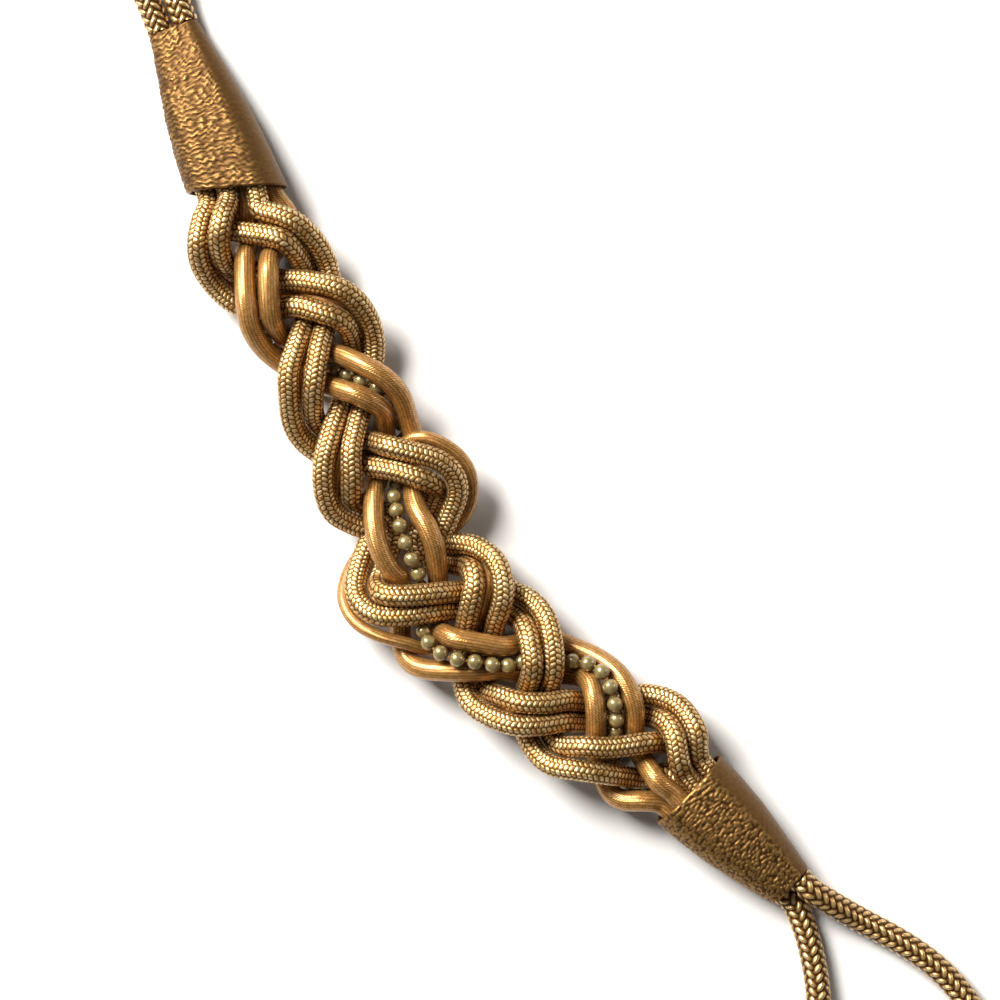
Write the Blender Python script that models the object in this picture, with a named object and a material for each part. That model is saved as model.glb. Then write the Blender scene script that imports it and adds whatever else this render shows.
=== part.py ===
"""Braided belt of gold cords between two thread-wound cuffs, with a pair of tasselled ties at each end.

It lies on the floor, z = 0, with the braid along +X. Metres, +Z up. The origin is the bottom centre of the
braid and its cuffs.
"""
import math

import bpy
import numpy as np

MM = 0.001

# The cords of the braid
BRAID_LENGTH = 188 * MM          # from one cuff's mouth to the other's
BRAID_REACH = 10 * MM            # how far a strand's middle swings from the braid's axis
LAYER_HEIGHT = 4.3 * MM          # how far a strand's middle climbs over or under the braid's middle
BRAID_MIDDLE_HEIGHT = 9.3 * MM
TEXTURED_RADIUS = 2.55 * MM
SATIN_RADIUS = 2.5 * MM
CORE_RADIUS = 1.6 * MM
CLEARANCE = 0.3 * MM             # between any two pieces
EASE_SPARE = 0.25 * MM           # more than that, while the braid's plan is eased apart
SETTLE_SPARE = 0.05 * MM         # and while its finished cords settle
CREST_LIFT = 1.5                 # a strand that stays over two others climbs this many layers
CREST_ROUNDNESS = 0.6            # and is broad on top: 1 is a plain wave, less is broader

# The string of pearls
PEARL_RADIUS = 2.0 * MM
PEARL_PITCH = 4.4 * MM
THREAD_RADIUS = 0.6 * MM
PEARL_SIDES = 10
PEARL_SHOULDER = 0.42            # a pearl's two rings lie this share of its radius either side of its middle

# The wound cuffs
CUFF_WALL = 1.1 * MM
POCKET_DEPTH = 6.0 * MM
CORD_END_DEPTH = 4.8 * MM        # how far into the pocket the cords reach
LIP_REACH = 3.8 * MM             # how far before a mouth the cords are already gathered
GATHER_REACH = 8.0 * MM          # and how far before it they start to be
CUFF_SIDES = 16
UPPER_CUFF_LENGTH = 44 * MM
UPPER_MOUTH_WIDTH = 24.4 * MM
UPPER_MOUTH_HEIGHT = 15.8 * MM
UPPER_CUFF_TURN = math.radians(164.8)
UPPER_MOUTH_SLANT = 0.32         # how far the mouth runs along the cuff for each step across it
LOWER_MOUTH_SLANT = 0.0
LOWER_CUFF_LENGTH = 35 * MM
LOWER_MOUTH_WIDTH = 23.4 * MM
LOWER_MOUTH_HEIGHT = 16.2 * MM
LOWER_CUFF_TURN = math.radians(9.2)

# The ties and their tassels
TIE_RADIUS = 3.1 * MM
TIE_SPACING = 6.8 * MM
CROSSED_TIE_SPACING = 5.4 * MM   # at the lower cuff, where one tie leaves above the other
CROSSED_TIE_RISE = 4.1 * MM
TIE_POINTS = 13
LANDING_STARTS = 4 * MM          # where a tie that leaves its cuff high starts down to the floor
LANDING_LENGTH = 16 * MM
TASSEL_LENGTH = 36 * MM
TASSEL_HEAD_RADIUS = 4.4 * MM
TASSEL_LOCKS = 8
TASSEL_ROUND = 16

# The axis of the braid: share of its length, share of its length to the side
BOW = (
    (-0.06, 0.016), (0.00, -0.002), (0.04, -0.017), (0.09, -0.030), (0.16, -0.029), (0.22, -0.034),
    (0.28, -0.048), (0.35, -0.066), (0.42, -0.075), (0.49, -0.098), (0.55, -0.112), (0.61, -0.105),
    (0.67, -0.096), (0.73, -0.086), (0.79, -0.068), (0.85, -0.046), (0.92, -0.020), (1.00, -0.003),
    (1.06, 0.007),
)

# A strand's turns: share of the braid's length, share of BRAID_REACH to the side, the climb to the next turn,
# and how many layers high that climb is where it goes over
UNDER_OVER = "under, then over"
OVER_UNDER = "over, then under"
UNDER = "under"
OVER = "over"
FIRST_TURNS = (
    (-0.060, 0.10, UNDER, 1.0), (0.000, 0.00, UNDER_OVER, 1.0), (0.124, 0.98, UNDER_OVER, 1.0),
    (0.310, -1.05, UNDER_OVER, 1.1), (0.487, 1.28, UNDER, 1.0), (0.525, 0.22, UNDER, 1.0),
    (0.590, 1.22, OVER_UNDER, 1.0), (0.728, -1.08, OVER_UNDER, 1.0), (0.912, 0.90, OVER, 1.0),
    (1.060, 0.25, OVER, 1.0),
)
PEARLED_TURNS = (
    (-0.060, 0.50, UNDER, 1.0), (0.020, 0.60, UNDER_OVER, 1.3), (0.185, -0.98, UNDER_OVER, 1.3),
    (0.352, 0.98, UNDER, 1.0), (0.450, 0.12, OVER, 1.0), (0.575, -0.20, UNDER, 1.0),
    (0.622, -1.12, OVER_UNDER, 1.0), (0.812, 0.88, OVER_UNDER, 1.0), (0.945, -0.75, OVER, 1.1),
    (1.060, -0.35, OVER, 1.0),
)
SECOND_TURNS = (
    (-0.060, -0.45, OVER, 1.0), (0.000, -0.92, OVER, 1.0), (0.060, -1.22, UNDER_OVER, 1.0),
    (0.242, 0.98, UNDER_OVER, 1.0), (0.432, -1.30, UNDER, 1.0), (0.470, -0.12, UNDER, 1.0),
    (0.522, -1.46, OVER_UNDER, 1.1), (0.690, 1.08, OVER_UNDER, 1.0), (0.832, -1.12, OVER_UNDER, 1.15),
    (0.990, 0.45, UNDER, 1.0), (1.060, 0.20, UNDER, 1.0),
)

# How a strand's three cords lie: share of the braid's length, distance between the outer two as a multiple of
# their diameter, and where the third lies: its share of the way from their middle to beyond the left one
# (right, if less than 0), and its share of the valley's depth behind them (in front, if less than 0)
FIRST_LAY = (
    (-0.06, 1.07, 0.0, 1.0), (0.00, 1.10, 0.0, 1.0), (0.10, 1.17, 0.0, 1.0), (0.38, 1.15, 0.0, 1.0),
    (0.44, 1.07, 1.0, 0.1), (0.49, 1.07, 1.0, 0.1), (0.55, 1.15, 0.0, 1.0), (1.00, 1.08, 0.0, 1.0),
    (1.06, 1.07, 0.0, 1.0),
)
SECOND_LAY = (
    (-0.06, 1.07, 0.0, 1.0), (0.00, 1.10, 0.0, 1.0), (0.10, 1.17, 0.0, 1.0), (0.33, 1.15, 0.0, 1.0),
    (0.40, 1.40, 0.0, 1.0), (0.46, 1.16, 0.0, 1.0), (0.51, 1.07, -0.6, 0.6), (0.56, 1.07, -1.0, 0.1),
    (0.60, 1.07, -1.0, 0.1),
    (0.66, 1.15, 0.0, 1.0), (1.00, 1.08, 0.0, 1.0), (1.06, 1.07, 0.0, 1.0),
)
PEARLED_LAY = (
    (-0.06, 1.12, 0.0, 1.0), (0.00, 1.06, 0.0, 1.0), (0.38, 1.06, 0.0, 1.0), (0.43, 1.80, 0.0, 1.0),
    (0.47, 2.60, 0.0, 0.0), (0.52, 2.75, 0.0, 0.0), (0.58, 1.90, 0.0, -0.8), (0.70, 1.80, 0.0, -1.0),
    (0.86, 1.85, 0.0, -1.0), (0.92, 1.80, 0.0, 1.0), (0.97, 1.20, 0.0, 1.0), (1.06, 1.12, 0.0, 1.0),
)

# How the layers draw together at the cuffs: share of the braid's length, shares of the layers' height and of
# the middle's
DRAWN_IN = ((-0.06, 0.50, 0.83), (0.00, 0.55, 0.83), (0.05, 1.00, 1.00), (0.95, 1.00, 1.00),
            (1.00, 0.55, 0.83), (1.06, 0.50, 0.83))

# How the plan's lines are eased apart: the radii grow to their full size, and the early rounds also draw the
# lines back to the plan
EASE_POINTS = 140
EASE_ROUNDS = 180
EASE_NEIGHBOURS = 7              # points looked at on either side of a point
EASE_FIRST_SIZE = 0.55
EASE_GROWTH = 0.9
EASE_EARLY = 0.6                 # share of the rounds
EASE_PUSH = 1.3
EASE_EVENING_EARLY = 0.4
EASE_EVENING_LATE = 0.12
EASE_DRAW_BACK = 0.98

# How the finished cords settle
CORD_RINGS = 49
PEARL_KNOTS = 100
SETTLE_ROUNDS = 160
SETTLE_STEPS = 5                 # places looked at between two rings of a cord
SETTLE_REACH = 4.0 * MM          # how much farther than touching a neighbour may start
SETTLE_PUSH = 1.5
SETTLE_EVENING = 0.3

# A cuff from its tied end to its mouth: share of its length, share of the way in width and in height
CUFF_SECTIONS = ((0.00, 0.00, 0.00), (0.10, 0.14, 0.16), (0.30, 0.42, 0.45), (0.55, 0.74, 0.72),
                 (0.80, 0.92, 0.90), (1.00, 1.00, 1.00))

# A tassel from its head: share of its length, multiples of the head's radius in width and in height, and how
# deep the furrows between its locks are
TASSEL_SECTIONS = ((0.00, 0.72, 0.72, 0.00), (0.05, 0.98, 0.98, 0.00), (0.15, 1.02, 1.02, 0.00),
                   (0.21, 0.80, 0.80, 0.00), (0.27, 0.84, 0.82, 0.04), (0.42, 1.18, 0.92, 0.10),
                   (0.68, 1.42, 0.92, 0.14), (1.00, 1.62, 0.84, 0.18))

# The ties' routes from the cuff's tied end, in mm: along the cuff's own direction, and to its side
UPPER_LEFT_TIE = ((0.0, 0.0), (4.0, 0.0), (9.0, 0.0), (16.0, 0.6), (26.0, 3.0), (36.0, 6.6), (46.0, 9.8))
UPPER_RIGHT_TIE = ((0.0, 0.0), (4.0, 0.0), (8.0, -0.4), (14.0, -1.8), (24.0, -4.8), (34.0, -7.9),
                   (45.5, -10.6))
LOWER_LEFT_TIE = ((0.0, 0.0), (4.0, 0.0), (12.0, 1.4), (20.0, 3.3), (29.0, 5.8), (37.0, 7.3), (43.0, 7.7),
                  (49.0, 7.4), (54.5, 6.4))
LOWER_RIGHT_TIE = ((0.0, 0.0), (4.0, 0.0), (11.0, -3.0), (18.0, -7.4), (24.7, -12.6), (31.0, -19.0),
                   (36.5, -25.5))


def smooth(table, column, at):
    """Reads a column of a table at the given shares, on a curve that never swings past its rows."""
    xs = np.array([row[0] for row in table], float)
    ys = np.array([row[column] for row in table], float)
    steps = np.diff(xs)
    slopes = np.diff(ys) / steps
    same_way = slopes[:-1] * slopes[1:] > 0
    before = np.where(same_way, slopes[:-1], 1.0)
    after = np.where(same_way, slopes[1:], 1.0)
    weight_before = 2 * steps[1:] + steps[:-1]
    weight_after = steps[1:] + 2 * steps[:-1]
    tangents = np.zeros_like(ys)
    middle = (weight_before + weight_after) / (weight_before / before + weight_after / after)
    tangents[1:-1] = np.where(same_way, middle, 0.0)
    tangents[0] = slopes[0]
    tangents[-1] = slopes[-1]
    row = np.clip(np.searchsorted(xs, at) - 1, 0, len(steps) - 1)
    t = (at - xs[row]) / steps[row]
    start = (1 + 2 * t) * (1 - t) ** 2 * ys[row] + t * (1 - t) ** 2 * steps[row] * tangents[row]
    end = t * t * (3 - 2 * t) * ys[row + 1] + t * t * (t - 1) * steps[row] * tangents[row + 1]
    return start + end


def unit(vectors):
    return vectors / np.maximum(np.linalg.norm(vectors, axis=-1, keepdims=True), 1e-12)


def climb(turns, share):
    """Height of a strand's middle, in layers, at each share of the braid's length."""
    starts = np.array([row[0] for row in turns])
    section = np.clip(np.searchsorted(starts, share) - 1, 0, len(turns) - 2)
    part = (share - starts[section]) / (starts[section + 1] - starts[section])
    half_wave = np.sin(math.pi * part)
    full_wave = np.sin(2 * math.pi * part)
    crest = CREST_LIFT * np.maximum(half_wave, 0.0) ** CREST_ROUNDNESS
    ways = np.array([row[2] for row in turns])[section]
    lift = np.array([row[3] for row in turns])[section]
    height = np.where(ways == UNDER_OVER, -full_wave, full_wave)
    height = np.where(ways == UNDER, -half_wave, height)
    height = np.where(ways == OVER, crest, height)
    return np.where(height > 0, height * lift, height)


def rounded(points, half):
    """Running mean of a line's points, which takes the corners off."""
    kernel = np.ones(2 * half + 1) / (2 * half + 1)
    padded = np.pad(points, ((half, half), (0, 0)), mode="reflect", reflect_type="odd")
    return np.stack([np.convolve(padded[:, axis], kernel, "valid") for axis in range(3)], 1)


def strand_middle(turns, share):
    side = (smooth(BOW, 1, share) * BRAID_LENGTH) + smooth(turns, 1, share) * BRAID_REACH
    layer = LAYER_HEIGHT * smooth(DRAWN_IN, 1, share)
    height = climb(turns, share) * layer + BRAID_MIDDLE_HEIGHT * smooth(DRAWN_IN, 2, share)
    return rounded(np.stack([share * BRAID_LENGTH, side, height], 1), 3)


def strand_lines(turns, lay, share, outer_radius, inner_radius):
    """A strand's three lines: two cords side by side, and one behind them or beside them."""
    middle = strand_middle(turns, share)
    along = unit(np.gradient(middle, axis=0))
    flat = unit(np.cross(along, (0.0, 0.0, 1.0)))
    up = np.cross(flat, along)
    half = smooth(lay, 1, share)[:, None] * outer_radius
    beside = smooth(lay, 2, share)[:, None]
    behind = smooth(lay, 3, share)[:, None]
    apart = outer_radius + inner_radius + CLEARANCE + EASE_SPARE
    depth = np.sqrt(np.maximum(apart ** 2 - half ** 2, 0.0))
    third = middle - flat * (half + apart) * beside - up * depth * behind
    return middle - flat * half, middle + flat * half, third


def braid_plan():
    """The cords' centre lines as the braid's plan has them, with each line's radius."""
    share = np.linspace(-0.05, 1.05, EASE_POINTS)
    first = strand_lines(FIRST_TURNS, FIRST_LAY, share, TEXTURED_RADIUS, CORE_RADIUS)
    second = strand_lines(SECOND_TURNS, SECOND_LAY, share, TEXTURED_RADIUS, CORE_RADIUS)
    pearled = strand_lines(PEARLED_TURNS, PEARLED_LAY, share, SATIN_RADIUS, PEARL_RADIUS)
    radii = (TEXTURED_RADIUS, TEXTURED_RADIUS, CORE_RADIUS) * 2 + (SATIN_RADIUS, SATIN_RADIUS, PEARL_RADIUS)
    return np.stack(first + second + pearled), np.array(radii)


class Cuff:
    """Where a cuff stands: the middle of its mouth on the floor, and the way it points."""

    def __init__(self, mouth_x, turn, length, width, height, slant, tie_offsets):
        bow = smooth(BOW, 1, np.array([mouth_x / BRAID_LENGTH]))[0]
        self.mouth = np.array((mouth_x, bow * BRAID_LENGTH, 0.0))
        self.out = np.array((math.cos(turn), math.sin(turn), 0.0))
        self.side = np.array((-math.sin(turn), math.cos(turn), 0.0))
        self.slant = slant
        self.length = length
        self.width = width
        self.height = height
        self.tie_offsets = tie_offsets
        spread = max(abs(offset[0]) for offset in tie_offsets)
        top = max(offset[1] for offset in tie_offsets)
        self.tied_width = 2 * (spread + TIE_RADIUS)
        self.tied_height = top + TIE_RADIUS + CLEARANCE

    def depth(self, places):
        """How far places lie inside the mouth, which stands across the cuff or slanted."""
        return (places - self.mouth) @ (self.out - self.slant * self.side)

    def section(self, share, wide_share, high_share):
        """The outside's centre, width, height and slant at a share of the way from tied end to mouth."""
        width = self.tied_width + (self.width - self.tied_width) * wide_share
        height = self.tied_height + (self.height - self.tied_height) * high_share
        return self.mouth + self.out * self.length * (1 - share), width, height, self.slant * share ** 2

    def ring(self, centre, width, height, slant, floor):
        """A section across the cuff: round at both sides, flat above and below."""
        straight = (width - height) / 2
        points = []
        for way in (-1, 1):
            for step in range(CUFF_SIDES // 2):
                angle = math.pi * (0.5 - step / (CUFF_SIDES // 2 - 1))
                y = way * (straight + math.cos(angle) * height / 2)
                z = floor + height / 2 - way * math.sin(angle) * height / 2
                points.append(centre + (self.side + self.out * slant) * y + (0, 0, z))
        return np.array(points[::-1])

    def hold(self, lines, radii):
        """Keeps the lines inside the mouth, and lets them spread before it."""
        inner_width = self.width - 2 * CUFF_WALL
        inner_height = self.height - 2 * CUFF_WALL
        away = lines - (self.mouth + (0, 0, self.height / 2))
        depth = self.depth(lines)
        y = away @ self.side
        z = away[..., 2]
        straight = (inner_width - inner_height) / 2
        room = inner_height / 2 - radii[:, None] - CLEARANCE - EASE_SPARE
        limit = room + np.maximum(0.0, -depth - LIP_REACH)
        near = np.clip(y, -straight, straight)
        distance = np.hypot(y - near, z)
        outside = (distance > limit) & (depth > -GATHER_REACH)
        scale = np.where(outside, limit / np.maximum(distance, 1e-9), 1.0)
        lines += ((near + (y - near) * scale) - y)[..., None] * self.side
        lines[..., 2] += z * scale - z


UPPER_CUFF = Cuff(0.0, UPPER_CUFF_TURN, UPPER_CUFF_LENGTH, UPPER_MOUTH_WIDTH, UPPER_MOUTH_HEIGHT,
                  UPPER_MOUTH_SLANT, ((TIE_SPACING / 2, TIE_RADIUS), (-TIE_SPACING / 2, TIE_RADIUS)))
LOWER_CUFF = Cuff(BRAID_LENGTH, LOWER_CUFF_TURN, LOWER_CUFF_LENGTH, LOWER_MOUTH_WIDTH, LOWER_MOUTH_HEIGHT,
                  LOWER_MOUTH_SLANT, ((CROSSED_TIE_SPACING / 2, TIE_RADIUS + CROSSED_TIE_RISE),
                                      (-CROSSED_TIE_SPACING / 2, TIE_RADIUS)))


def eased_lines():
    """Pushes the plan's lines apart until no two cords meet, keeping the braid's form."""
    plan, radii = braid_plan()
    lines = plan.copy()
    count = lines.shape[1]
    need = radii[:, None] + radii[None, :] + CLEARANCE + EASE_SPARE
    np.fill_diagonal(need, 0.0)
    for turn in range(EASE_ROUNDS):
        grown = min(1.0, EASE_FIRST_SIZE + EASE_GROWTH * turn / EASE_ROUNDS)
        push = np.zeros_like(lines)
        hits = np.zeros(lines.shape[:2])
        for offset in range(-EASE_NEIGHBOURS, EASE_NEIGHBOURS + 1):
            here = np.arange(max(0, -offset), min(count, count - offset))
            between = lines[:, None, here] - lines[None, :, here + offset]
            distance = np.linalg.norm(between, axis=3)
            short = np.maximum(need[:, :, None] * grown - distance, 0.0)
            push[:, here] += (between / np.maximum(distance, 1e-9)[..., None] * short[..., None]).sum(1) / 2
            hits[:, here] += (short > 0).sum(1)
        moved = lines + push / np.maximum(hits, 1)[..., None] * EASE_PUSH - plan
        early = turn < EASE_ROUNDS * EASE_EARLY
        evening = EASE_EVENING_EARLY if early else EASE_EVENING_LATE
        moved[:, 1:-1] = (1 - evening) * moved[:, 1:-1] + evening / 2 * (moved[:, :-2] + moved[:, 2:])
        lines = plan + moved * (EASE_DRAW_BACK if early else 1.0)
        lines[..., 2] = np.maximum(lines[..., 2], radii[:, None])
        UPPER_CUFF.hold(lines, radii)
        LOWER_CUFF.hold(lines, radii)
    return lines


def trimmed(line):
    """Cuts a line where it reaches the floor of either cuff's pocket."""
    for cuff in (UPPER_CUFF, LOWER_CUFF):
        depth = cuff.depth(line)
        kept = np.flatnonzero(depth < CORD_END_DEPTH)
        first, last = kept[0], kept[-1]
        ends = []
        for inside, outside in ((first, first - 1), (last, last + 1)):
            if 0 <= outside < len(line):
                part = (CORD_END_DEPTH - depth[inside]) / (depth[outside] - depth[inside])
                ends.append(line[inside] + (line[outside] - line[inside]) * part)
            else:
                ends.append(None)
        body = line[first:last + 1]
        line = np.vstack([row for row in (ends[0], body, ends[1]) if row is not None])
    return line


def spaced(line, count, bend_weight=0.0):
    """Reads a line again at a number of points, closer together where it bends."""
    steps = np.linalg.norm(np.diff(line, axis=0), axis=1)
    length = np.concatenate([[0.0], np.cumsum(steps)])
    fine = np.linspace(0.0, length[-1], 6 * len(line))
    points = np.stack([np.interp(fine, length, line[:, axis]) for axis in range(3)], 1)
    points = rounded(points, 4)
    along = unit(np.gradient(points, axis=0))
    bend = np.linalg.norm(np.gradient(along, fine, axis=0), axis=1)
    weight = np.concatenate([[0.0], np.cumsum(np.diff(fine) * (1 + bend_weight * bend[1:]))])
    at = np.linspace(0.0, weight[-1], count)
    chosen = np.stack([np.interp(at, weight, points[:, axis]) for axis in range(3)], 1)
    hollow = (chosen[:-2] + chosen[2:]) / 2 - chosen[1:-1]
    chosen[1:-1] -= hollow / 8          # half of what a straight stretch cuts off its bend
    return chosen


def settled(lines, radii):
    """Eases the finished lines once more, now as the straight stretches between their rings."""
    starts = np.cumsum([0] + [len(line) for line in lines])
    knots = np.vstack(lines)
    before, part, owner = [], [], []
    for number, line in enumerate(lines):
        for ring in range(len(line) - 1):
            for step in range(SETTLE_STEPS):
                before.append(starts[number] + ring)
                part.append(step / SETTLE_STEPS)
                owner.append(number)
    before, part, owner = np.array(before), np.array(part)[:, None], np.array(owner)
    places = knots[before] * (1 - part) + knots[before + 1] * part
    reach = 2 * max(radii) + SETTLE_REACH
    near = [np.flatnonzero((np.abs(places - place) < reach).all(1) & (owner > number))
            for place, number in zip(places, owner)]
    one = np.repeat(np.arange(len(places)), [len(others) for others in near])
    other = np.concatenate(near)
    need = radii[owner[one]] + radii[owner[other]] + CLEARANCE + SETTLE_SPARE
    knot_radii = np.concatenate([np.full(len(line), radius) for line, radius in zip(lines, radii)])
    ends = np.concatenate([starts[:-1], starts[1:] - 1])
    inside = np.setdiff1d(np.arange(len(knots)), ends)
    for _ in range(SETTLE_ROUNDS):
        places = knots[before] * (1 - part) + knots[before + 1] * part
        between = places[one] - places[other]
        distance = np.linalg.norm(between, axis=1)
        short = np.maximum(need - distance, 0.0)
        touching = short > 0
        step = (between[touching].T / distance[touching] * short[touching]).T / 2
        push = np.zeros_like(knots)
        weight = np.zeros(len(knots))
        for index, sign in ((one[touching], 1.0), (other[touching], -1.0)):
            for knot, share in ((before[index], 1 - part[index, 0]), (before[index] + 1, part[index, 0])):
                weight += np.bincount(knot, share, len(knots))
                for axis in range(3):
                    push[:, axis] += np.bincount(knot, sign * step[:, axis] * share, len(knots))
        moved = SETTLE_PUSH * push / np.maximum(weight, 0.5)[:, None]
        beside = moved[inside - 1] + moved[inside + 1]
        moved[inside] = (1 - SETTLE_EVENING) * moved[inside] + SETTLE_EVENING / 2 * beside
        knots += moved
        knots[:, 2] = np.maximum(knots[:, 2], knot_radii)
        for cuff in (UPPER_CUFF, LOWER_CUFF):
            cuff.hold(knots[:, None], knot_radii)
            past = np.maximum(0.0, cuff.depth(knots) - CORD_END_DEPTH)
            knots -= past[:, None] * cuff.out
    return [knots[starts[number]:starts[number + 1]] for number in range(len(lines))]


def through(points, count):
    """A smooth line of evenly spaced points through a route's own points."""
    knots = np.array(points, float)
    padded = np.vstack([2 * knots[0] - knots[1], knots, 2 * knots[-1] - knots[-2]])
    fine = []
    for row in range(1, len(padded) - 2):
        a, b, c, d = padded[row - 1:row + 3]
        for t in np.linspace(0, 1, 24, endpoint=False):
            fine.append(0.5 * (2 * b + (c - a) * t + (2 * a - 5 * b + 4 * c - d) * t ** 2
                               + (3 * b - a - 3 * c + d) * t ** 3))
    fine.append(padded[-2])
    fine = np.array(fine)
    length = np.concatenate([[0.0], np.cumsum(np.linalg.norm(np.diff(fine, axis=0), axis=1))])
    at = np.linspace(0, length[-1], count)
    return np.stack([np.interp(at, length, fine[:, axis]) for axis in range(3)], 1)


def finish(name, colour, roughness, metallic):
    material = bpy.data.materials.new(name)
    material.use_nodes = True
    shader = material.node_tree.nodes["Principled BSDF"]
    shader.inputs["Base Color"].default_value = (*colour, 1.0)
    shader.inputs["Roughness"].default_value = roughness
    shader.inputs["Metallic"].default_value = metallic
    return material


def cord(name, line, radius, resolution, material):
    """A round cord along a line."""
    curve = bpy.data.curves.new(name, "CURVE")
    curve.dimensions = "3D"
    curve.bevel_depth = radius
    curve.bevel_resolution = resolution
    curve.use_fill_caps = True
    spline = curve.splines.new("POLY")
    spline.points.add(len(line) - 1)
    for point, place in zip(spline.points, line - ORIGIN):
        point.co = (*place, 1.0)
    curve.materials.append(material)
    body = bpy.data.objects.new(name, curve)
    bpy.context.collection.objects.link(body)
    return body


def loft(name, rings, material):
    """A closed body through rings of as many points each."""
    sides = len(rings[0])
    points = np.vstack(rings) - ORIGIN
    faces = [tuple(reversed(range(sides)))]
    for ring in range(len(rings) - 1):
        for side in range(sides):
            a = ring * sides + side
            b = ring * sides + (side + 1) % sides
            faces.append((a, b, b + sides, a + sides))
    last = (len(rings) - 1) * sides
    faces.append(tuple(range(last, last + sides)))
    mesh = bpy.data.meshes.new(name)
    mesh.from_pydata([tuple(point) for point in points], [], faces)
    mesh.materials.append(material)
    mesh.shade_smooth()
    mesh.set_sharp_from_angle(angle=math.radians(50))
    body = bpy.data.objects.new(name, mesh)
    bpy.context.collection.objects.link(body)
    return body


def frames(line):
    """Two directions across a line at each of its points, turning as little as they can."""
    along = unit(np.gradient(line, axis=0))
    across = np.zeros_like(line)
    start = np.cross(along[0], (0.0, 0.0, 1.0))
    across[0] = start / np.linalg.norm(start)
    for point in range(1, len(line)):
        turned = across[point - 1] - along[point] * (across[point - 1] @ along[point])
        across[point] = turned / np.linalg.norm(turned)
    return across, np.cross(along, across)


def pearl_string(line, material):
    """Pearls on a thread, fused into one body."""
    length = np.linalg.norm(np.diff(line, axis=0), axis=1).sum()
    beads = int(length / PEARL_PITCH)
    shoulder = PEARL_SHOULDER * PEARL_RADIUS
    shoulder_radius = math.sqrt(PEARL_RADIUS ** 2 - shoulder ** 2)
    stations = []
    for bead in range(beads):
        middle = (bead + 0.5) * length / beads
        stations.append((middle - length / beads / 2, THREAD_RADIUS))
        stations.append((middle - shoulder, shoulder_radius))
        stations.append((middle + shoulder, shoulder_radius))
    stations.append((length, THREAD_RADIUS))
    reach = np.concatenate([[0.0], np.cumsum(np.linalg.norm(np.diff(line, axis=0), axis=1))])
    places = np.stack([np.interp([s[0] for s in stations], reach, line[:, axis]) for axis in range(3)], 1)
    across, up = frames(places)
    angles = 2 * math.pi * np.arange(PEARL_SIDES) / PEARL_SIDES
    rings = []
    for place, side, rise, (_, radius) in zip(places, across, up, stations):
        rings.append(place + radius * (np.cos(angles)[:, None] * side + np.sin(angles)[:, None] * rise))
    return loft("pearl_string", rings, material)


def wound_cuff(name, cuff, material):
    """A tapered binding, hollow at the mouth where the braid goes in."""
    rings = []
    for share, wide, high in CUFF_SECTIONS:
        rings.append(cuff.ring(*cuff.section(share, wide, high), 0.0))
    mouth = cuff.mouth
    inner = (cuff.width - 2 * CUFF_WALL, cuff.height - 2 * CUFF_WALL, cuff.slant, CUFF_WALL)
    rings.append(cuff.ring(mouth, *inner))
    rings.append(cuff.ring(mouth + cuff.out * POCKET_DEPTH, *inner))
    return loft(name, rings, material)


def tie_line(cuff, offset, route):
    """A tie's line: out of the cuff's tied end, down to the floor and along it."""
    start = cuff.mouth + cuff.out * (cuff.length + CLEARANCE)
    points = []
    for ahead, aside in route:
        down = min(1.0, max(0.0, ahead * MM - LANDING_STARTS) / LANDING_LENGTH)
        ease_down = down * down * (3 - 2 * down)
        height = offset[1] + (TIE_RADIUS - offset[1]) * ease_down
        points.append(start + cuff.out * ahead * MM + cuff.side * (offset[0] + aside * MM) + (0, 0, height))
    line = through(points, TIE_POINTS)
    line[:, 2] = np.maximum(line[:, 2], TIE_RADIUS)
    return line


def tassel(name, line, material):
    """A bound head and a skirt of locks, lying on the floor beyond the tie's end."""
    ahead = line[-1] - line[-2]
    ahead[2] = 0.0
    ahead /= np.linalg.norm(ahead)
    side = np.array((-ahead[1], ahead[0], 0.0))
    start = line[-1] + ahead * CLEARANCE
    rings = []
    for share, wide, high, lock in TASSEL_SECTIONS:
        half_width = wide * TASSEL_HEAD_RADIUS
        half_height = high * TASSEL_HEAD_RADIUS
        middle = max(half_height, start[2] * (1 - 4 * share))
        ring = []
        for step in range(TASSEL_ROUND):
            angle = 2 * math.pi * step / TASSEL_ROUND
            depth = 1 - lock * (0.5 - 0.5 * math.cos(TASSEL_LOCKS * angle))
            height = max(0.0, middle + math.sin(angle) * half_height * depth)
            place = start + ahead * share * TASSEL_LENGTH + side * math.cos(angle) * half_width * depth
            ring.append((place[0], place[1], height))
        rings.append(np.array(ring))
    return loft(name, rings, material)


for leftover in list(bpy.data.objects):
    bpy.data.objects.remove(leftover)

textured_gold = finish("textured gold cord", (0.62, 0.42, 0.16), 0.45, 0.35)
satin_gold = finish("satin gold cord", (0.60, 0.30, 0.10), 0.35, 0.20)
wound_thread = finish("wound gold thread", (0.42, 0.24, 0.09), 0.55, 0.20)
pearl = finish("olive pearl", (0.45, 0.41, 0.24), 0.18, 0.10)

RADII = braid_plan()[1]
KNOTS = (CORD_RINGS,) * 8 + (PEARL_KNOTS,)
LINES = settled([spaced(trimmed(line), knots, 3 * radius)
                 for line, knots, radius in zip(eased_lines(), KNOTS, RADII)], RADII)
reached = [line[:, :2] + radius * way for line, radius in zip(LINES, RADII) for way in (-1, 1)]
for cuff in (UPPER_CUFF, LOWER_CUFF):
    reached += [cuff.ring(*cuff.section(*row), 0.0)[:, :2] for row in CUFF_SECTIONS]
reached = np.vstack(reached)
ORIGIN = np.array((*(reached.min(0) + reached.max(0)) / 2, 0.0))

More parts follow.
